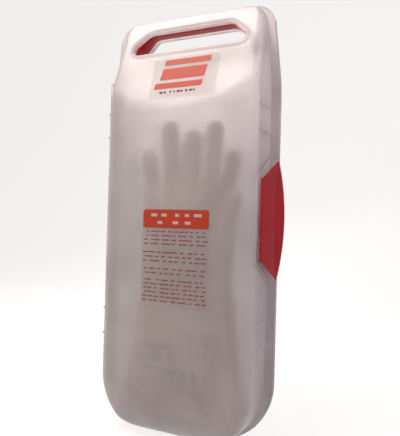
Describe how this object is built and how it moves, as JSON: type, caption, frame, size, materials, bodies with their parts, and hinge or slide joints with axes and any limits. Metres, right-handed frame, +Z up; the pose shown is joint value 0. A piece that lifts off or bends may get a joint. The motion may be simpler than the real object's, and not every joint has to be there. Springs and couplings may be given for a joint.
{
  "type": "electrical insulating gloves in carrying case",
  "caption": "Pair of insulating gauntlet gloves standing in a translucent hinged plastic case with a handle slot and a side latch.",
  "frame": {"origin": "on the surface that the case stands on, under the middle of its bounding box", "axes": "+Z up along the fingers, +X towards the latch, -Y out of the cover's front, +Y out of the tray's back"},
  "size_m": [0.225, 0.0806, 0.48],
  "materials": {
    "milky_polypropylene": "satin",
    "red_polypropylene": "semi-gloss",
    "steel_wire": "drawn",
    "natural_latex": "matt",
    "badge_film": "printed film",
    "notice_film": "printed film"
  },
  "bodies": {
    "root": {"tray_shell": "milky_polypropylene", "handle_liner": "red_polypropylene", "latch_pin": "steel_wire", "hinge_pin_lower": "steel_wire", "hinge_pin_middle": "steel_wire", "hinge_pin_upper": "steel_wire", "glove_front": "natural_latex", "glove_rear": "natural_latex"},
    "cover": {"cover_shell": "milky_polypropylene", "front_badge": "badge_film", "instruction_label": "notice_film"},
    "latch": {"side_latch": "red_polypropylene"}
  },
  "joints": [
    {"name": "cover_hinge", "type": "hinge", "parent": "root", "child": "cover", "pos_m": [-0.1085, 0.00626, 0.24], "axis": [0, 0, -1], "range_deg": [0, 180]},
    {"name": "latch_pivot", "type": "hinge", "parent": "root", "child": "latch", "pos_m": [0.106, 0.01186, 0.244], "axis": [0, 0, 1], "range_deg": [0, 95]}
  ]
}
